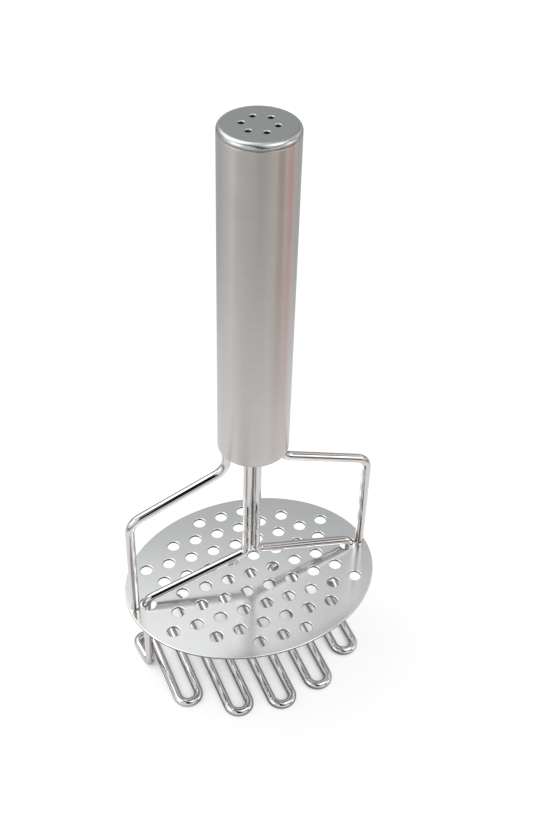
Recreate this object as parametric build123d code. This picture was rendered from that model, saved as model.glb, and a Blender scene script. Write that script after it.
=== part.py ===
from build123d import *
import math
import os

# Spring masher with two mashing surfaces, standing on its wire base.
# Millimetres, Z up. The origin is on the surface that the base stands on, on the handle's axis.
# X runs along the plane of the wire frames, Y runs to the back.

# Handle tube and its cap
tube_od = 27.0
tube_wall = 0.8
tube_length = 129.0
tube_edge_softening = 0.2
cap_height = 2.4
cap_wall = 1.0
cap_edge_radius = 1.8
cap_seam_chamfer = 0.15
cap_skirt_length = 6.0
cap_fit = 0.05
vent_hole_d = 2.0
vent_edge_radius = 0.4
vent_circle_d = 11.4
vent_hole_count = 6
first_vent_angle = 90.0

# Wire of the base and its arms
base_wire_d = 3.6
base_bend_radius = 3.6
base_flat_depth = 0.25
rod_gap = 0.1
leg_spacing = 91.4
leg_joint_height = 18.0
outer_strand_inset = 5.2
strand_count = 10
loop_reach = 40.2
end_loop_reach = 15.5
end_loop_splay = 1.8
arm_rise_at_legs = 2.4
arm_slope_rise = 12.0

# Wire of the outer frame, which carries the plate
frame_wire_d = 3.6
frame_leg_gap = 1.0
frame_shoulder_rise = 48.3
frame_shoulder_bend_radius = 7.0
frame_slope_rise = 15.3
frame_throat_bend_radius = 7.5
foot_weld_width = 0.2
foot_weld_height = 1.2
weld_gap = 0.05

# Perforated plate
plate_width = 85.0
plate_thickness = 1.0
plate_edge_radius = 0.3
plate_lift = 39.5
plate_rim_past_foot = 0.9
hole_d = 5.2
hole_edge_radius = 0.3
hole_pitch = 10.0
hole_rim_land = 4.2
hole_side_land = 2.0
leg_hole_clearance = 1.6
leg_hole_inset = 0.8

# Handle above the frame's throat, and what slides inside it
throat_to_mouth = 10.0
guide_depth = 18.0
guide_thickness = 2.0
guide_slot_clearance = 0.08
head_thickness = 4.0
head_slide_gap = 0.4
head_rod_fit = 0.02
head_collar_height = 4.0
head_collar_wall = 1.2
head_collar_gap = 0.5

# Return spring
spring_wire_d = 1.6
spring_side_gap = 1.65
spring_pitch = 4.0
bends_per_turn = 2

# How far a cut runs past the face that it opens, and the gap below which two points are one
overrun = 1.0
same_point = 0.001

# Radii and places across the part that follow from the sizes above
tube_r = tube_od / 2
bore_r = tube_r - tube_wall
skirt_r = bore_r - cap_fit
base_wire_r = base_wire_d / 2
frame_wire_r = frame_wire_d / 2
rod_x = base_wire_r + rod_gap / 2
leg_x = leg_spacing / 2
frame_rod_x = bore_r - weld_gap - frame_wire_r
frame_leg_x = leg_x + base_wire_r + frame_leg_gap + frame_wire_r
plate_half_length = frame_leg_x + frame_wire_r + plate_rim_past_foot
leg_hole_r = base_wire_r + leg_hole_clearance
leg_hole_x = leg_x - leg_hole_inset
outer_strand_x = leg_x - outer_strand_inset
strand_pitch = 2 * outer_strand_x / (strand_count - 1)
spring_outer_r = skirt_r - cap_wall - spring_side_gap
spring_inner_r = spring_outer_r - spring_wire_d

# Heights that follow from the sizes above, from the bottom up
wave_z = base_wire_r - base_flat_depth
leg_joint_z = wave_z + leg_joint_height
plate_top_z = wave_z + plate_lift
plate_under_z = plate_top_z - plate_thickness
arm_at_legs_z = plate_top_z + arm_rise_at_legs
arm_at_rods_z = arm_at_legs_z + arm_slope_rise
shoulder_z = plate_top_z + frame_shoulder_rise
throat_z = shoulder_z + frame_slope_rise
mouth_z = throat_z + throat_to_mouth
guide_z = mouth_z + guide_depth
guide_top_z = guide_z + guide_thickness
head_top_z = guide_top_z + head_thickness
tube_top_z = mouth_z + tube_length
cap_top_z = tube_top_z + cap_height
ceiling_z = cap_top_z - cap_wall


def upright(radius, bottom_z, top_z, x=0, y=0):
    """A cylinder that stands between two heights."""
    place = Pos(x, y, (bottom_z + top_z) / 2)
    return place * Cylinder(radius, top_z - bottom_z)


def runs_and_bends(corners, bend_radii):
    """Straight runs between the corners, with a tangent arc in place of each inner corner."""
    edges = []
    start = corners[0]
    for before, corner, after, radius in zip(corners, corners[1:], corners[2:], bend_radii):
        into = (corner - before).normalized()
        out = (after - corner).normalized()
        half_turn = math.radians(into.get_angle(out)) / 2
        setback = radius * math.tan(half_turn)
        rise = radius * (1 / math.cos(half_turn) - 1)
        arc_start = corner - into * setback
        arc_middle = corner + (out - into).normalized() * rise
        arc_end = corner + out * setback
        if (arc_start - start).length > same_point:
            edges.append(Edge.make_line(start, arc_start))
        edges.append(Edge.make_three_point_arc(arc_start, arc_middle, arc_end))
        start = arc_end
    edges.append(Edge.make_line(start, corners[-1]))
    return edges


def round_wire(edges, diameter):
    """One round wire swept along edges that meet end to end."""
    path = Wire(edges)
    start_plane = Plane(origin=path @ 0, z_dir=path % 0)
    return sweep(start_plane * Circle(diameter / 2), path=path)


def tip_y(x):
    """How far from the middle the wire loop at x reaches, so that the tips lie on an oval."""
    return loop_reach * math.sqrt(1 - (x / leg_x) ** 2)


def base_corners():
    """Corners of the serpentine, from the left leg's joint to the right leg's joint."""
    splayed_x = leg_x + end_loop_splay
    corners = [
        Vector(-leg_x, 0, leg_joint_z),
        Vector(-leg_x, 0, wave_z),
        Vector(-splayed_x, end_loop_reach, wave_z),
        Vector(-outer_strand_x, end_loop_reach, wave_z),
    ]
    side = 1
    for index in range(strand_count - 1):
        x = strand_pitch * index - outer_strand_x
        side = -side
        y = side * tip_y(x + strand_pitch / 2)
        corners.append(Vector(x, y, wave_z))
        corners.append(Vector(x + strand_pitch, y, wave_z))
    end_y = -side * end_loop_reach
    corners.append(Vector(outer_strand_x, end_y, wave_z))
    corners.append(Vector(splayed_x, end_y, wave_z))
    corners.append(Vector(leg_x, 0, wave_z))
    corners.append(Vector(leg_x, 0, leg_joint_z))
    return corners


def base_wire():
    """The serpentine that the masher stands on, with its two legs, dressed flat underneath."""
    end_loop_width = outer_strand_inset + end_loop_splay
    wide_turn = math.pi / 2 + math.atan(end_loop_splay / end_loop_reach)
    end_loop_radius = end_loop_width / (1 + math.tan(wide_turn / 2))
    end_radii = [end_loop_radius] * 2
    loop_radii = [strand_pitch / 2] * (2 * (strand_count - 1))
    radii = [base_bend_radius] + end_radii + loop_radii + end_radii + [base_bend_radius]
    wire = round_wire(runs_and_bends(base_corners(), radii), base_wire_d)
    below_the_floor = Box(
        2 * (leg_x + end_loop_splay + base_wire_d),
        2 * (loop_reach + base_wire_d),
        base_wire_d,
        align=(Align.CENTER, Align.CENTER, Align.MAX),
    )
    return wire - below_the_floor


def arm_wire(side):
    """One rod of the pair, its arm above the plate, and the top of its leg."""
    corners = [
        Vector(side * rod_x, 0, head_top_z),
        Vector(side * rod_x, 0, arm_at_rods_z),
        Vector(side * leg_x, 0, arm_at_legs_z),
        Vector(side * leg_x, 0, leg_joint_z),
    ]
    return round_wire(runs_and_bends(corners, [base_bend_radius] * 2), base_wire_d)


def frame_wire(side):
    """One outer wire, from the guide disc down to its welded foot on the plate."""
    corners = [
        Vector(side * frame_rod_x, 0, guide_top_z),
        Vector(side * frame_rod_x, 0, throat_z),
        Vector(side * frame_leg_x, 0, shoulder_z),
        Vector(side * frame_leg_x, 0, plate_top_z),
    ]
    radii = [frame_throat_bend_radius, frame_shoulder_bend_radius]
    wire = round_wire(runs_and_bends(corners, radii), frame_wire_d)
    weld = Cone(frame_wire_r + foot_weld_width, frame_wire_r, foot_weld_height)
    return wire + Pos(side * frame_leg_x, 0, plate_top_z + foot_weld_height / 2) * weld


def hole_fits(x, y):
    """Whether a round hole there leaves enough plate at the rim and beside the legs' holes."""
    margin = hole_d / 2 + hole_rim_land
    across = x / (plate_half_length - margin)
    along = y / (plate_width / 2 - margin)
    to_leg_hole = math.hypot(leg_hole_x - abs(x), y)
    clear_of_leg_hole = to_leg_hole > leg_hole_r + hole_side_land + hole_d / 2
    return across ** 2 + along ** 2 <= 1 and clear_of_leg_hole


def hole_places():
    """Centres of the round holes, in staggered rows that fill the oval."""
    row_pitch = hole_pitch * math.sqrt(3) / 2
    rows_each_way = math.ceil(plate_width / 2 / row_pitch)
    columns_each_way = math.ceil(plate_half_length / hole_pitch)
    places = []
    for row in range(-rows_each_way, rows_each_way + 1):
        stagger = hole_pitch / 2 * (row % 2)
        for column in range(-columns_each_way, columns_each_way + 1):
            x = hole_pitch * column + stagger
            y = row_pitch * row
            if hole_fits(x, y):
                places.append((x, y))
    return places


def press_plate():
    """The oval plate with its mashing holes and the two holes that the legs pass through."""
    plate = extrude(Ellipse(plate_half_length, plate_width / 2), plate_thickness)
    plate = fillet(plate.edges(), plate_edge_radius)
    cuts = Sketch() + Locations(*hole_places()) * Circle(hole_d / 2)
    cuts += Locations((-leg_hole_x, 0), (leg_hole_x, 0)) * Circle(leg_hole_r)
    plate -= Pos(0, 0, -overrun) * extrude(cuts, plate_thickness + 2 * overrun)
    hole_edges = plate.edges().filter_by(GeomType.CIRCLE).group_by(Axis.Z)[-1]
    plate = fillet(hole_edges, hole_edge_radius)
    return Pos(0, 0, plate_under_z) * plate


def handle_tube():
    """The plain tube, open at both ends, with its sharp edges taken off."""
    tube = upright(tube_r, mouth_z, tube_top_z)
    tube -= upright(bore_r, mouth_z - overrun, tube_top_z + overrun)
    rims = tube.edges().filter_by(GeomType.CIRCLE).sort_by(SortBy.RADIUS)[-2:]
    return fillet(rims, tube_edge_softening)


def end_cap():
    """The pressed cap with its rounded edge, vent holes and the skirt that sits in the tube."""
    disc = upright(tube_r, tube_top_z, cap_top_z)
    rims = disc.edges().filter_by(GeomType.CIRCLE).sort_by(Axis.Z)
    disc = fillet(rims[-1], cap_edge_radius)
    seam = disc.edges().filter_by(GeomType.CIRCLE).sort_by(Axis.Z)[0]
    disc = chamfer(seam, cap_seam_chamfer)
    skirt_z = tube_top_z - cap_skirt_length
    cap = disc + upright(skirt_r, skirt_z, tube_top_z)
    cap -= upright(skirt_r - cap_wall, skirt_z - overrun, ceiling_z)
    vents = PolarLocations(vent_circle_d / 2, vent_hole_count, start_angle=first_vent_angle)
    for vent in vents:
        cap -= vent * upright(vent_hole_d / 2, ceiling_z - overrun, cap_top_z + overrun)
    top_edges = cap.edges().filter_by(GeomType.CIRCLE).group_by(Axis.Z)[-1]
    vent_edges = top_edges.group_by(SortBy.RADIUS)[0]
    return fillet(vent_edges, vent_edge_radius)


def rod_slot(clearance, bottom_z, top_z):
    """The long hole that both rods pass through, side by side."""
    outline = SlotCenterToCenter(2 * rod_x, base_wire_d + 2 * clearance)
    return Pos(0, 0, bottom_z - overrun) * extrude(outline, top_z - bottom_z + 2 * overrun)


def guide_disc():
    """The disc welded inside the tube: it guides the rods, holds the outer wires and stops the head."""
    disc = upright(bore_r - weld_gap, guide_z, guide_top_z)
    disc -= rod_slot(guide_slot_clearance, guide_z, guide_top_z)
    notch_r = frame_wire_r + weld_gap
    notch_length = bore_r + overrun - frame_rod_x
    notch_height = guide_thickness + 2 * overrun
    for side in (-1, 1):
        middle = Pos(side * (frame_rod_x + notch_length / 2), 0, (guide_z + guide_top_z) / 2)
        disc -= upright(notch_r, guide_z - overrun, guide_top_z + overrun, side * frame_rod_x)
        disc -= middle * Box(notch_length, 2 * notch_r, notch_height)
    return disc


def rod_head():
    """The head welded on the rods' top ends, with a collar that centres the spring."""
    collar_r = spring_inner_r - head_collar_gap
    collar_top_z = head_top_z + head_collar_height
    head = upright(bore_r - head_slide_gap, guide_top_z, head_top_z)
    head -= rod_slot(head_rod_fit, guide_top_z, head_top_z)
    collar = upright(collar_r, head_top_z, collar_top_z)
    collar -= upright(collar_r - head_collar_wall, head_top_z, collar_top_z + overrun)
    return head + collar


def tangent_arcs(start, start_way, end, end_way):
    """Two arcs that leave the start and reach the end along the given directions."""
    chord = end - start
    both_ways = start_way + end_way
    spread = 2 * (1 - start_way.dot(end_way))
    along = chord.dot(both_ways)
    reach = (math.sqrt(along ** 2 + spread * chord.dot(chord)) - along) / spread
    start_knee = start + start_way * reach
    end_knee = end - end_way * reach
    middle = (start_knee + end_knee) * 0.5
    middle_way = (end_knee - start_knee).normalized()
    first = Edge.make_tangent_arc(start, start_way, middle)
    second = Edge.make_tangent_arc(middle, middle_way, end)
    return [first, second]


def return_spring():
    """The compression spring between the rod head and the cap, as one helix of round wire."""
    coil_r = spring_outer_r - spring_wire_d / 2
    bottom_z = head_top_z + spring_wire_d / 2
    rise = ceiling_z - spring_wire_d / 2 - bottom_z
    turns = round(rise / spring_pitch)
    whole_turn = 2 * math.pi * turns
    rise_per_angle = rise / whole_turn

    def place(angle):
        x = coil_r * math.cos(angle)
        y = coil_r * math.sin(angle)
        return Vector(x, y, bottom_z + rise_per_angle * angle)

    def way(angle):
        x = -coil_r * math.sin(angle)
        y = coil_r * math.cos(angle)
        return Vector(x, y, rise_per_angle).normalized()

    edges = []
    step = 2 * math.pi / bends_per_turn
    for index in range(turns * bends_per_turn):
        low = step * index
        high = step * (index + 1)
        edges += tangent_arcs(place(low), way(low), place(high), way(high))
    print_coil_gap(place, turns)
    return round_wire(edges, spring_wire_d)


def print_coil_gap(place, turns):
    """Prints the least gap of the spring wire to itself, between points half a turn to two turns apart."""
    steps_per_turn = 24
    last = turns * steps_per_turn
    points = [place(2 * math.pi * index / steps_per_turn) for index in range(last + 1)]
    least = min(
        (points[other] - points[index]).length
        for index in range(last + 1)
        for other in range(index + steps_per_turn // 2, min(index + 2 * steps_per_turn, last + 1))
    )
    print("return spring:", turns, "turns, least gap", round(least - spring_wire_d, 2), "mm")


def write_parts():
    """Builds every piece and writes it to its own file."""
    os.makedirs("parts", exist_ok=True)
    pieces = {
        "handle_tube": handle_tube(),
        "end_cap": end_cap(),
        "guide_disc": guide_disc(),
        "frame_wire_left": frame_wire(-1),
        "frame_wire_right": frame_wire(1),
        "press_plate": press_plate(),
        "base_wire": base_wire(),
        "arm_wire_left": arm_wire(-1),
        "arm_wire_right": arm_wire(1),
        "rod_head": rod_head(),
        "return_spring": return_spring(),
    }
    for name, piece in pieces.items():
        export_step(piece, f"parts/{name}.step")


write_parts()
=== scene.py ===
# %% [markdown]
# # A spring masher in stainless steel
# The object is a kitchen tool of tube, wire and sheet, all stainless steel. The solids come
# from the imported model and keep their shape. What is left for Blender is what steel does with
# light: brushing on the handle, polish on the wires, satin on the plate, and a studio to mirror.

# %% Load the frame
import math
import bpy
from mathutils import Matrix, Vector


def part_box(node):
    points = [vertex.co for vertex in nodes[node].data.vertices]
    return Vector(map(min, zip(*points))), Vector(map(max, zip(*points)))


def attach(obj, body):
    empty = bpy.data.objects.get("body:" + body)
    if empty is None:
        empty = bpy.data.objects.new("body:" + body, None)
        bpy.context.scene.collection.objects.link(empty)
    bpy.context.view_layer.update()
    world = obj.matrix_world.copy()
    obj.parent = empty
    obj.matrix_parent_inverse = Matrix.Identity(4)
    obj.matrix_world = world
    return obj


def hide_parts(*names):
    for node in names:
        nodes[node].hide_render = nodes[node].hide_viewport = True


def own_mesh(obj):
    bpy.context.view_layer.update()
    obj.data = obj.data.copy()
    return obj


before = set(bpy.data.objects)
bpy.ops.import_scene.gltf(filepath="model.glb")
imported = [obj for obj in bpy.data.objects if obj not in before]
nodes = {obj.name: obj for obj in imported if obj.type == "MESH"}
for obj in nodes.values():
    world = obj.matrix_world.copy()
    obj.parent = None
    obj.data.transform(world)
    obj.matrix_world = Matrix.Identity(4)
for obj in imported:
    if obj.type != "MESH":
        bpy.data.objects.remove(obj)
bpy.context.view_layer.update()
print("pieces:", ", ".join(sorted(nodes)))

# %% [markdown]
# The sizes that a finish needs are read from the frame: how wide the handle is and how high
# the plate lies. So they follow the model if it is ever made in another size.

# %% Sizes read from the frame
millimetre = 0.001
tube_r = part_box("handle_tube")[1].x
plate_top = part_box("press_plate")[1].z
print("handle radius", round(tube_r / millimetre, 2), "mm")
print("plate top", round(plate_top / millimetre, 2), "mm up")


# %% [markdown]
# Colours are written as sRGB hex, the way a colour picker shows them. Blender's shaders work in
# linear light, so one function turns the one into the other.

# %% Colours
def linear(hex_colour):
    """An sRGB hex colour as linear red, green, blue and alpha."""
    shares = [int(hex_colour[start:start + 2], 16) / 255 for start in (1, 3, 5)]
    values = [s / 12.92 if s <= 0.04045 else ((s + 0.055) / 1.055) ** 2.4 for s in shares]
    return (*values, 1.0)


print("the picker's middle grey is", round(linear("#808080")[0], 3), "in linear light")


# %% [markdown]
# Every material is a small tree of nodes. One function adds a node: its settings are set by
# name, and each input gets either a plain value or a link from another node's output.

# %% Adding a node
def add(tree, kind, inputs=None, **settings):
    """Adds one node to a tree, with its settings, its input values and its links."""
    node = tree.nodes.new(kind)
    for name, value in settings.items():
        setattr(node, name, value)
    for name, value in (inputs or {}).items():
        if isinstance(value, bpy.types.NodeSocket):
            tree.links.new(value, node.inputs[name])
        else:
            node.inputs[name].default_value = value
    return node


def new_material(name):
    """An empty material and its node tree."""
    material = bpy.data.materials.new(name)
    material.use_nodes = True
    material.node_tree.nodes.clear()
    return material, material.node_tree


def dress(material, *names):
    """Puts one material on CAD nodes."""
    for name in names:
        nodes[name].data.materials.clear()
        nodes[name].data.materials.append(material)


print("solids to dress:", len(nodes))

# %% [markdown]
# No real surface is quite even. Grain, patches and slow waves are all noise of some real size,
# so the noise helper takes that size. Noise lies mostly between 0.3 and 0.7, and a second
# helper turns such a range into the range that a finish needs, for example its roughness.
# A third adds the metal itself, with the output that ends every material of this object.

# %% Noise of a real size
usual_noise = (0.3, 0.7)


def noise(tree, place, size, detail):
    """Noise that is fixed to the object, with blotches of a size in metres."""
    return add(tree, "ShaderNodeTexNoise", {
        "Vector": place.outputs["Object"], "Scale": 1 / size, "Detail": detail}).outputs["Fac"]


def remap(tree, value, source, target=(0.0, 1.0), **settings):
    """Turns one range of a value into another, and holds it at their ends."""
    return add(tree, "ShaderNodeMapRange", {
        "Value": value, "From Min": source[0], "From Max": source[1],
        "To Min": target[0], "To Max": target[1]}, **settings).outputs[0]


def add_steel(tree, inputs):
    """Adds the metal and the output of its material."""
    steel = add(tree, "ShaderNodeBsdfPrincipled", {"Metallic": 1.0, **inputs})
    add(tree, "ShaderNodeOutputMaterial", {"Surface": steel.outputs[0]})


print("noise is read from", usual_noise[0], "to", usual_noise[1])

# %% [markdown]
# ## The handle: brushed stainless tube
# The tube was turned against a fine abrasive belt, so its scratches run round it. Scratches
# spread light across their own direction. That stretches every reflection along the handle
# and keeps it narrow across, which gives the long soft streaks that brushed tube is known by.
# An anisotropic metal does this without modelling a single scratch. Belt scratches lie about
# 0.05 mm apart. They are drawn 0.4 mm apart, because finer ones don't show in the render.

# %% Brushed tube
scratch_spacing = 0.4 * millimetre
scratch_length = 16 * millimetre
patch_size = 12 * millimetre
scratch_colours = ("#c5c3c1", "#cac8c6")
tube_roughness = (0.28, 0.32)
stretch_of_reflections = 0.85
quarter_turn = 0.25


def brushed_tube():
    """Stainless steel, belt brushed around the tube."""
    material, tree = new_material("brushed_stainless_steel")
    place = add(tree, "ShaderNodeTexCoord")
    stretch = (1 / scratch_length, 1 / scratch_length, 1 / scratch_spacing)
    along = add(tree, "ShaderNodeMapping", {"Vector": place.outputs["Object"], "Scale": stretch})
    lines = add(tree, "ShaderNodeTexNoise", {"Vector": along.outputs[0], "Scale": 1.0, "Detail": 3.0})
    tone = add(tree, "ShaderNodeValToRGB", {"Fac": lines.outputs["Fac"]})
    for stop, position, colour in zip(tone.color_ramp.elements, usual_noise, scratch_colours):
        stop.position = position
        stop.color = linear(colour)
    patches = noise(tree, place, patch_size, detail=2.0)
    tangent = add(tree, "ShaderNodeTangent", direction_type="RADIAL", axis="Z")
    add_steel(tree, {
        "Base Color": tone.outputs["Color"],
        "Roughness": remap(tree, patches, usual_noise, tube_roughness),
        "Anisotropic": stretch_of_reflections, "Anisotropic Rotation": quarter_turn,
        "Tangent": tangent.outputs[0]})
    return material


dress(brushed_tube(), "handle_tube")
print("handle: brushed, scratches", round(scratch_spacing / millimetre, 2), "mm apart")

# %% [markdown]
# ## The cap: satin top, polished edge
# The cap is drawn from sheet. Its flat top keeps the satin of the sheet, and its rounded edge
# was buffed, so the edge mirrors the lamps in one bright line. Two materials could do that,
# but both finishes are one steel. So one material changes its roughness with the distance
# from the axis, over the first bit of the rounding.

# %% Cap
edge_radius = 1.8 * millimetre
buff_start = tube_r - edge_radius
buff_blend = 0.36 * millimetre
cap_grain = 0.35 * millimetre
satin_roughness = (0.3, 0.38)
buffed_roughness = 0.27


def mix_numbers(tree, share, first, second):
    """A number between two others. Numbers are the mix node's inputs 2 and 3."""
    return add(tree, "ShaderNodeMix", {0: share, 2: first, 3: second}).outputs[0]


def cap_steel():
    """Satin stainless steel on the flat top, buffed bright on the rounded edge."""
    material, tree = new_material("satin_and_buffed_stainless_steel")
    place = add(tree, "ShaderNodeTexCoord")
    flat = add(tree, "ShaderNodeVectorMath", {
        0: place.outputs["Object"], 1: (1, 1, 0)}, operation="MULTIPLY")
    reach = add(tree, "ShaderNodeVectorMath", {0: flat.outputs[0]}, operation="LENGTH")
    on_edge = remap(tree, reach.outputs["Value"], (buff_start, buff_start + buff_blend))
    grain = noise(tree, place, cap_grain, detail=2.0)
    satin = remap(tree, grain, usual_noise, satin_roughness)
    bump = add(tree, "ShaderNodeBump", {
        "Height": grain, "Strength": 0.06, "Distance": 0.01 * millimetre})
    add_steel(tree, {
        "Base Color": linear("#b6b9b8"), "Normal": bump.outputs[0],
        "Roughness": mix_numbers(tree, on_edge, satin, buffed_roughness)})
    return material


dress(cap_steel(), "end_cap")
print("cap: satin top, edge buffed over", round(edge_radius / millimetre, 2), "mm")

# %% [markdown]
# ## The wires: drawn and polished stainless
# Hard-drawn wire is tumbled or electropolished after bending. It mirrors the studio in sharp
# stripes along its length, which waver a little, because the surface is never truly even. A
# faint bump gives the wavering, so the solid stays as it is. Near the welds on the plate the
# heat has tinted the steel a pale straw brown, and only the feet of the outer wires have that.

# %% Polished wire
ripple_length = 5 * millimetre
wire_grain = 0.6 * millimetre
wire_roughness = (0.04, 0.07)
tint_reach = 5 * millimetre
tint_noise = (0.35, 0.65)
tint_shares = (0.3, 0.8)
foot_width = 4 * millimetre
foot_inner_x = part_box("frame_wire_right")[1].x - foot_width


def mix_colours(tree, share, first, second):
    """A colour between two others. Colours are the mix node's inputs 6 and 7, and its output 2."""
    return add(tree, "ShaderNodeMix", {
        0: share, 6: linear(first), 7: linear(second)}, data_type="RGBA").outputs[2]


def calculate(tree, operation, *values, clamp=False):
    """One step of arithmetic on one or two numbers."""
    inputs = dict(enumerate(values))
    return add(tree, "ShaderNodeMath", inputs, operation=operation, use_clamp=clamp).outputs[0]


def heat_tint(tree, place, ripple):
    """How tinted the steel is: most at the plate's top, only on the outer wires' feet, in patches."""
    parts = add(tree, "ShaderNodeSeparateXYZ", {0: place.outputs["Object"]})
    height = calculate(tree, "SUBTRACT", parts.outputs["Z"], plate_top)
    near_weld = remap(tree, calculate(tree, "ABSOLUTE", height), (tint_reach, 0.0))
    sideways = calculate(tree, "ABSOLUTE", parts.outputs["X"])
    on_foot = calculate(tree, "GREATER_THAN", sideways, foot_inner_x)
    tinted = calculate(tree, "MULTIPLY", near_weld, on_foot)
    return calculate(tree, "MULTIPLY", tinted, remap(tree, ripple, tint_noise, tint_shares))


def polished_wire():
    """Drawn stainless wire, polished bright, with a faint ripple."""
    material, tree = new_material("polished_stainless_wire")
    place = add(tree, "ShaderNodeTexCoord")
    ripple = noise(tree, place, ripple_length, detail=2.0)
    grain = noise(tree, place, wire_grain, detail=3.0)
    bump = add(tree, "ShaderNodeBump", {
        "Height": ripple, "Strength": 0.03, "Distance": 0.1 * millimetre})
    tone = mix_colours(tree, heat_tint(tree, place, ripple), "#cfcdcc", "#a58f78")
    add_steel(tree, {
        "Base Color": tone, "Roughness": remap(tree, grain, usual_noise, wire_roughness),
        "Normal": bump.outputs[0]})
    return material


dress(polished_wire(), "base_wire", "arm_wire_left", "arm_wire_right", "frame_wire_left", "frame_wire_right")
print("wires: polished, tinted within", round(tint_reach / millimetre, 2), "mm of the welds")

# %% [markdown]
# ## The plate: satin stainless sheet
# Cold-rolled sheet with a satin finish mirrors what is close to it, and blurs what is far.
# So the arms cast a reflection that is sharp at the legs and melts away towards the middle.
# A roughness just under 0.2 does that. The walls of the punched holes and the rim are torn
# metal, so they are duller. Their darker colour is painted shade: it stands for the shaded
# floor that they mirror. They are found by the way they face, because only they are upright.

# %% Plate
wave_length = 30 * millimetre
sheet_grain = 0.5 * millimetre
sheet_roughness = (0.17, 0.19)
wall_roughness = 0.5
wall_slopes = (0.5, 0.2)


def plate_steel():
    """Satin stainless sheet, duller on its rim and in its holes, where its darker colour is painted shade.
    """
    material, tree = new_material("satin_stainless_sheet")
    place = add(tree, "ShaderNodeTexCoord")
    grain = noise(tree, place, sheet_grain, detail=3.0)
    wave = noise(tree, place, wave_length, detail=1.0)
    waved = add(tree, "ShaderNodeBump", {
        "Height": wave, "Strength": 0.2, "Distance": 0.3 * millimetre})
    bump = add(tree, "ShaderNodeBump", {
        "Height": grain, "Strength": 0.04, "Distance": 0.01 * millimetre,
        "Normal": waved.outputs[0]})
    shape = add(tree, "ShaderNodeNewGeometry")
    facing = add(tree, "ShaderNodeSeparateXYZ", {0: shape.outputs["Normal"]})
    on_wall = remap(tree, calculate(tree, "ABSOLUTE", facing.outputs["Z"]), wall_slopes)
    sheen = remap(tree, grain, usual_noise, sheet_roughness)
    add_steel(tree, {
        # The walls' darker colour is painted shade, for the shaded floor that they mirror.
        "Base Color": mix_colours(tree, on_wall, "#e6e7e7", "#7d7b79"),
        "Roughness": mix_numbers(tree, on_wall, sheen, wall_roughness),
        "Normal": bump.outputs[0]})
    return material


dress(plate_steel(), "press_plate")
print("plate: satin sheet with slow waves of", round(wave_length / millimetre, 2), "mm")

# %% [markdown]
# ## The pieces inside the handle
# The guide disc and the rods' head never show, so they keep the dull finish that the rolling
# mill gave them, with a fine grain. The spring is drawn wire, darker from its drawing soap.
# One recipe serves both, with another colour and a finer grain.

# %% Steel as the mill leaves it
mill_grain = 0.8 * millimetre
drawn_grain = 0.4 * millimetre
dull_roughness = (0.35, 0.5)


def plain_steel(name, colour, grain_size):
    """Unpolished steel with a fine dull grain."""
    material, tree = new_material(name)
    grain = noise(tree, add(tree, "ShaderNodeTexCoord"), grain_size, detail=4.0)
    add_steel(tree, {
        "Base Color": linear(colour), "Roughness": remap(tree, grain, usual_noise, dull_roughness)})
    return material


mill_steel = plain_steel("mill_finish_steel", "#a9a7a4", mill_grain)
spring_steel = plain_steel("drawn_spring_steel", "#8f8f92", drawn_grain)
dress(mill_steel, "guide_disc", "rod_head")
print("inside:", mill_steel.name, "and", spring_steel.name)

# %% [markdown]
# ## The spring
# A long compression spring stands on the rods' head and pushes the cap up. It shortens when the
# handle is pressed. A solid of the frame can't do that, so a coil of the same wire stands for
# it: a ring of points that is carried along a helix. A bevelled curve would do too, but a mesh
# says exactly where each point lies, and the two cut ends are plain faces.

# %% Spring wire
spring_low, spring_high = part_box("return_spring")
spring_wire_radius = 0.8 * millimetre
spring_turns = 26
rings_per_turn = 36
points_per_ring = 12


def coil_points():
    """Rings of points round a helix, from the spring's foot to its top."""
    coil_radius = spring_high.x - spring_wire_radius
    rings = spring_turns * rings_per_turn + 1
    rise = (spring_high.z - spring_low.z - 2 * spring_wire_radius) / (rings - 1)
    tilt = math.atan(rise * rings_per_turn / (math.tau * coil_radius))
    lowest = spring_low.z + spring_wire_radius
    points = []
    for ring in range(rings):
        turned = math.tau * ring / rings_per_turn
        outward = Vector((math.cos(turned), math.sin(turned), 0))
        along = Vector((-outward.y, outward.x, 0))
        across = Vector((0, 0, math.cos(tilt))) - along * math.sin(tilt)
        centre = outward * coil_radius + Vector((0, 0, lowest + rise * ring))
        for point in range(points_per_ring):
            angle = math.tau * point / points_per_ring
            spoke = outward * math.cos(angle) + across * math.sin(angle)
            points.append(centre + spoke * spring_wire_radius)
    return points


wire_points = coil_points()
print("spring wire:", spring_turns, "turns,", len(wire_points), "points")


# %% [markdown]
# Four neighbouring points make a face of the wire's wall, which is shaded smooth. The first
# and the last ring are each one flat face, as if the wire were cut there.

# %% Coil
def new_object(name, data):
    """A new object in the scene, for a mesh, a camera or a lamp."""
    made = bpy.data.objects.new(name, data)
    bpy.context.scene.collection.objects.link(made)
    return made


def make_coil(points):
    """A coil of round wire in the spring's place, with a cut face at each end."""
    faces = []
    for here in range(0, len(points) - points_per_ring, points_per_ring):
        after = here + points_per_ring
        for point in range(points_per_ring):
            beside = (point + 1) % points_per_ring
            faces.append((here + point, after + point, after + beside, here + beside))
    walls = len(faces)
    faces.append(tuple(range(points_per_ring)))
    faces.append(tuple(reversed(range(len(points) - points_per_ring, len(points)))))
    mesh = bpy.data.meshes.new("coil_spring")
    mesh.from_pydata(points, [], faces)
    for face in mesh.polygons:
        face.use_smooth = face.index < walls
    mesh.materials.append(spring_steel)
    return new_object("coil_spring", mesh)


coil = make_coil(wire_points)
print("coil:", len(coil.data.polygons), "faces")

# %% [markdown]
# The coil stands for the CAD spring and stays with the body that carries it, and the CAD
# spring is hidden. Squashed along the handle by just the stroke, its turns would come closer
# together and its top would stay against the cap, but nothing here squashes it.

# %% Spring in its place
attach(coil, "masher")
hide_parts("return_spring")
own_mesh(coil)

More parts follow.
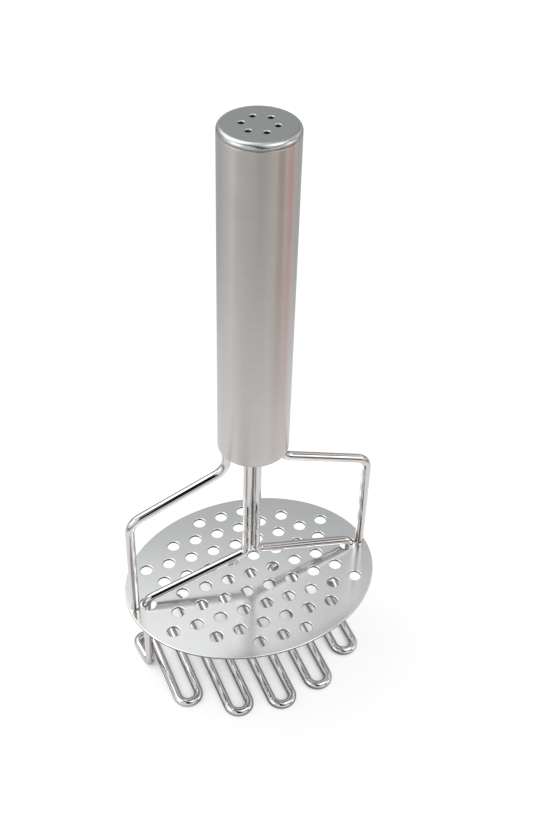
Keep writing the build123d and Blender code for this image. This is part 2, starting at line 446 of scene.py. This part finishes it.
# %% [markdown]
# ## The camera
# The view was solved from the plate's rows of holes and the handle's edges: it looks down at
# 41 degrees from the front left, from about half a metre. The camera looks at the middle of
# the plate's top, is rolled a little, and is then slid sideways and up in its own picture.

# %% Camera
focal_length = 51.34
camera_azimuth = math.radians(-23.939)
camera_elevation = math.radians(40.907)
camera_roll = math.radians(1.832)
camera_distance = 0.49103
slide_right = -0.00813
slide_up = -0.06738

flat_x = math.sin(camera_azimuth) * math.cos(camera_elevation)
flat_y = -math.cos(camera_azimuth) * math.cos(camera_elevation)
back = Vector((flat_x, flat_y, math.sin(camera_elevation)))
level = Vector((math.cos(camera_azimuth), math.sin(camera_azimuth), 0))
right = Matrix.Rotation(camera_roll, 3, back) @ level
up = back.cross(right)
place = Vector((0, 0, plate_top)) + back * camera_distance - right * slide_right - up * slide_up

camera = new_object("camera", bpy.data.cameras.new("camera"))
camera.data.lens = focal_length
camera.matrix_world = Matrix((right, up, back)).transposed().to_4x4()
camera.location = place
bpy.context.scene.camera = camera
print("camera at", [round(value, 3) for value in place])

# %% [markdown]
# ## The studio
# Metal is made of what it mirrors. A white floor and a white sky make it pale, and the picture
# needs both to be pure white. Lamps strong enough for that would burn out the steel. So floor
# and sky are bright where they are seen, by the camera or in a mirror, and cast less light.

# %% Colour management and what is seen
view_settings = bpy.context.scene.view_settings
view_settings.view_transform = "Standard"


def seen_share(tree):
    """1 for camera, mirror and glass rays, and 0 for the rays that carry soft light."""
    path = add(tree, "ShaderNodeLightPath")
    seen = calculate(tree, "ADD", path.outputs["Is Camera Ray"], path.outputs["Is Glossy Ray"])
    return calculate(tree, "ADD", seen, path.outputs["Is Transmission Ray"], clamp=True)


print("view transform:", view_settings.view_transform)

# %% [markdown]
# The paper floor glows a little where it is seen, up to white. Close under the plate the sky
# doesn't reach it, so there the glow fades and the holes show the grey shade below. Ambient
# occlusion measures that. Far out, where less lamp light falls, it glows a little more, so
# that floor and sky meet unseen.

# %% Floor
floor_radius = 3.0
floor_corners = 64
shade_reach = 60 * millimetre
shade_samples = 12
open_shares = (0.15, 0.42)
near_glows = (0.1, 0.7)
far_distances = (0.25, 0.9)
far_glows = (0.0, 0.13)


def white_floor():
    """Matt white paper, which glows where it is seen, but not in the shade under the object."""
    material, tree = new_material("matt_white_paper")
    matt = add(tree, "ShaderNodeBsdfDiffuse", {"Color": linear("#afafaf")})
    sky = add(tree, "ShaderNodeAmbientOcclusion", {"Distance": shade_reach}, samples=shade_samples)
    near_glow = remap(tree, sky.outputs["AO"], open_shares, near_glows)
    place = add(tree, "ShaderNodeTexCoord")
    distance = add(tree, "ShaderNodeVectorMath", {0: place.outputs["Object"]}, operation="LENGTH")
    far_glow = remap(tree, distance.outputs["Value"], far_distances, far_glows)
    glow = calculate(tree, "ADD", near_glow, far_glow)
    strength = calculate(tree, "MULTIPLY", seen_share(tree), glow)
    light = add(tree, "ShaderNodeEmission", {"Strength": strength})
    both = add(tree, "ShaderNodeAddShader", {0: matt.outputs[0], 1: light.outputs[0]})
    add(tree, "ShaderNodeOutputMaterial", {"Surface": both.outputs[0]})
    return material


def make_floor():
    """A round floor, wide enough to fill every view."""
    first = Vector((floor_radius, 0, 0))
    turns = [math.tau * index / floor_corners for index in range(floor_corners)]
    ring = [Matrix.Rotation(turn, 3, "Z") @ first for turn in turns]
    mesh = bpy.data.meshes.new("floor")
    mesh.from_pydata(ring, [], [list(range(floor_corners))])
    mesh.materials.append(white_floor())
    new_object("floor", mesh)


make_floor()
print("floor:", floor_radius, "m in radius, its shade reaches", round(shade_reach / millimetre), "mm")

# %% [markdown]
# The sky is an even white too. Light from all sides softens the shadow, but too much of it
# would wash out the shade under the plate, so it casts less than half of what it shows.

# %% Sky
sky_cast = 0.44
sky_seen = 1.0


def make_sky():
    """An even white sky, dimmer for the light that it casts."""
    world = bpy.data.worlds.new("white_sky")
    world.use_nodes = True
    tree = world.node_tree
    tree.nodes.clear()
    strength = remap(tree, seen_share(tree), (0.0, 1.0), (sky_cast, sky_seen))
    sky = add(tree, "ShaderNodeBackground", {"Color": linear("#ffffff"), "Strength": strength})
    add(tree, "ShaderNodeOutputWorld", {"Surface": sky.outputs[0]})
    bpy.context.scene.world = world


make_sky()
print("sky: seen at", sky_seen, "and casting", sky_cast)


# %% [markdown]
# A large soft box hangs overhead, a little to the back left. It gives the white line along the
# top of each wire, and the soft shadow. A lower one at the left shines in under the plate, and
# a high and a low one at the front right add the second line of the wires.

# %% Lamps
def toward(azimuth, elevation):
    """The direction to something round the object: azimuth 0 is the front, 90 the right."""
    a, e = math.radians(azimuth), math.radians(elevation)
    return Vector((math.sin(a) * math.cos(e), -math.cos(a) * math.cos(e), math.sin(e)))


def make_lamp(name, azimuth, elevation, distance, size, power):
    """A square soft box that points at the middle of the plate."""
    data = bpy.data.lights.new(name, "AREA")
    data.shape = "SQUARE"
    data.size = size
    data.energy = power
    lamp = new_object(name, data)
    way = toward(azimuth, elevation)
    lamp.location = Vector((0, 0, plate_top)) + way * distance
    lamp.rotation_euler = way.to_track_quat("Z", "Y").to_euler()
    print(name, "of", power, "W at", azimuth, "degrees")


make_lamp("overhead_soft_box", azimuth=-143, elevation=57, distance=1.15, size=0.95, power=4.3)
make_lamp("left_soft_box", azimuth=-85, elevation=26, distance=1.15, size=0.6, power=1.6)
make_lamp("front_right_soft_box", azimuth=42, elevation=60, distance=1.15, size=0.6, power=1.8)
make_lamp("right_soft_box", azimuth=59, elevation=22, distance=0.9, size=0.24, power=0.37)

# %% [markdown]
# What gives steel its form are screens of grey and dark card that stand and lie round the set,
# as in a product studio. Two of those that lie on the floor are painted shade rather than card.
# Only reflections see them, so the floor stays white and they cast no shadow. Their borders
# fade, because a hard border would show as a hard line in the steel.

# %% Card for the screens
hair = 0.001  # keeps a border that doesn't fade from dividing by zero


def card_material(name, colour, fade_round, fade_up):
    """Even card, or even painted shade, that fades to nothing at its borders."""
    material, tree = new_material(name)
    place = add(tree, "ShaderNodeTexCoord")
    shares = add(tree, "ShaderNodeSeparateXYZ", {0: place.outputs["UV"]})
    card = add(tree, "ShaderNodeEmission", {"Color": linear(colour)})
    clear = add(tree, "ShaderNodeBsdfTransparent")
    fades = []
    for axis, (first, last) in (("X", fade_round), ("Y", fade_up)):
        share = shares.outputs[axis]
        opening = remap(tree, share, (-hair, first), interpolation_type="SMOOTHSTEP")
        closing = remap(tree, share, (1 + hair, 1 - last), interpolation_type="SMOOTHSTEP")
        fades.append(calculate(tree, "MULTIPLY", opening, closing))
    solid = calculate(tree, "MULTIPLY", *fades)
    mixed = add(tree, "ShaderNodeMixShader", {0: solid, 1: clear.outputs[0], 2: card.outputs[0]})
    add(tree, "ShaderNodeOutputMaterial", {"Surface": mixed.outputs[0]})
    return material


print("card fades to nothing at its borders")

# %% [markdown]
# A screen is a strip of card bent round the set, between two azimuths in degrees. Its lower
# and its upper edge each have a distance from the axis and a height, both in metres, so one
# recipe makes standing, leaning and lying screens. Turning the upper edge by some degrees
# makes it lean sideways. A fade is the share of the strip over which a border fades.

# %% A screen
degrees_per_face = 5


def make_screen(name, azimuths, low, high, colour, lean=0, fade_round=(0.1, 0.1), fade_up=(0.1, 0.1)):
    """A bent strip of card. Its low and high edges are each a distance and a height."""
    first, last = azimuths
    faces = math.ceil((last - first) / degrees_per_face)
    points = []
    for index in range(faces + 1):
        azimuth = first + (last - first) * index / faces
        for turned, (distance, height) in ((azimuth, low), (azimuth + lean, high)):
            points.append(toward(turned, 0) * distance + Vector((0, 0, height)))
    strips = [(2 * i, 2 * i + 2, 2 * i + 3, 2 * i + 1) for i in range(faces)]
    mesh = bpy.data.meshes.new(name)
    mesh.from_pydata(points, [], strips)
    layer = mesh.uv_layers.new(name="shares")
    for loop in mesh.loops:
        step, is_high = divmod(loop.vertex_index, 2)
        layer.data[loop.index].uv = (step / faces, is_high)
    mesh.materials.append(card_material(name + "_card", colour, fade_round, fade_up))
    screen = new_object(name, mesh)
    screen.visible_camera = False
    screen.visible_diffuse = False
    screen.visible_shadow = False
    print(name, "from", first, "to", last, "degrees")


# %% [markdown]
# The dark side of the room lies where the camera stands, with a low dark border to the right.
# It gives the wires their dark stripes.

# %% Dark screens
make_screen("dark_camera_screen", azimuths=(-26, 14), low=(0.8, 0.15), high=(0.35, 0.98),
            colour="#1a1819", lean=-42, fade_round=(0.15, 0.25), fade_up=(0.12, 0.1))
make_screen("dark_upper_screen", azimuths=(-92, -20), low=(0.45, 0.62), high=(0.2, 0.8),
            colour="#2b2829", fade_round=(0.35, 0.2), fade_up=(0.2, 0.3))
make_screen("low_dark_screen", azimuths=(27, 50), low=(0.45, 0.0), high=(0.45, 0.14),
            colour="#0f0c0c", fade_round=(0.2, 0.15), fade_up=(0.01, 0.2))

# %% [markdown]
# Greys and a brown to the right and behind are what the plate, the cap and the handle's side
# mirror. They are large and far, so that the plate's tone changes slowly from end to end.

# %% Standing grey screens
make_screen("right_grey_screen", azimuths=(38, 98), low=(0.8, 0.56), high=(0.7, 0.74),
            colour="#807c7b", fade_round=(0.15, 0.2))
make_screen("brown_screen", azimuths=(6, 44), low=(0.7, 0.35), high=(0.55, 0.64),
            colour="#b09689", fade_round=(0.2, 0.3))
make_screen("back_grey_screen", azimuths=(105, 240), low=(2.0, 0.5), high=(2.0, 2.34),
            colour="#afb1b1", fade_round=(0.15, 0.1), fade_up=(0.1, 0.08))
make_screen("back_right_screen", azimuths=(90, 155), low=(2.0, 2.44), high=(1.3, 2.7),
            colour="#a3a5a5", fade_round=(0.15, 0.08), fade_up=(0.1, 0.3))
make_screen("low_back_screen", azimuths=(78, 250), low=(1.0, -0.2), high=(1.0, 0.36),
            colour="#848282", fade_round=(0.1, 0.2), fade_up=(0.01, 0.3))

# %% [markdown]
# Seen from above, the upright handle mirrors the floor, so sheets that lie there, seen only in
# reflections, set its tones. The far grey one is painted shade: the floor dimming far from the
# lamps. The near one at the front left is a painted shadow of the object on the floor. The warm
# strips give it the pink and beige streaks down its right side. The last one, right under the
# plate, is the shade that the plate's underside and the strands mirror.

# %% Screens on the floor
# Painted shade: the floor dimming far from the lamps, seen only in reflections.
make_screen("far_floor_painted_dimming_screen", azimuths=(-180, 180), low=(0.18, 0.001), high=(0.9, 0.001),
            colour="#c9c8c7", fade_round=(0.0, 0.0), fade_up=(0.2, 0.05))
make_screen("front_floor_screen", azimuths=(-90, 48), low=(0.21, 0.002), high=(0.9, 0.002),
            colour="#a79f99", fade_round=(0.03, 0.3), fade_up=(0.22, 0.05))
# Painted shadow: the object's shade on the floor at the front left, seen only in reflections.
make_screen("near_floor_painted_shadow_screen", azimuths=(-80, -30), low=(0.06, 0.003), high=(0.115, 0.003),
            colour="#b5b1ae", fade_round=(0.2, 0.2), fade_up=(0.2, 0.15))
make_screen("beige_floor_screen", azimuths=(10, 66), low=(0.13, 0.003), high=(0.9, 0.003),
            colour="#c4b1a2", fade_round=(0.4, 0.2), fade_up=(0.2, 0.05))
make_screen("warm_floor_screen", azimuths=(56, 84), low=(0.09, 0.004), high=(0.9, 0.004),
            colour="#c88a83", fade_round=(0.3, 0.15), fade_up=(0.35, 0.05))
make_screen("shade_screen", azimuths=(-180, 180), low=(0.0, 0.0003), high=(0.055, 0.0003),
            colour="#858382", fade_round=(0.0, 0.0), fade_up=(0.0, 0.3))
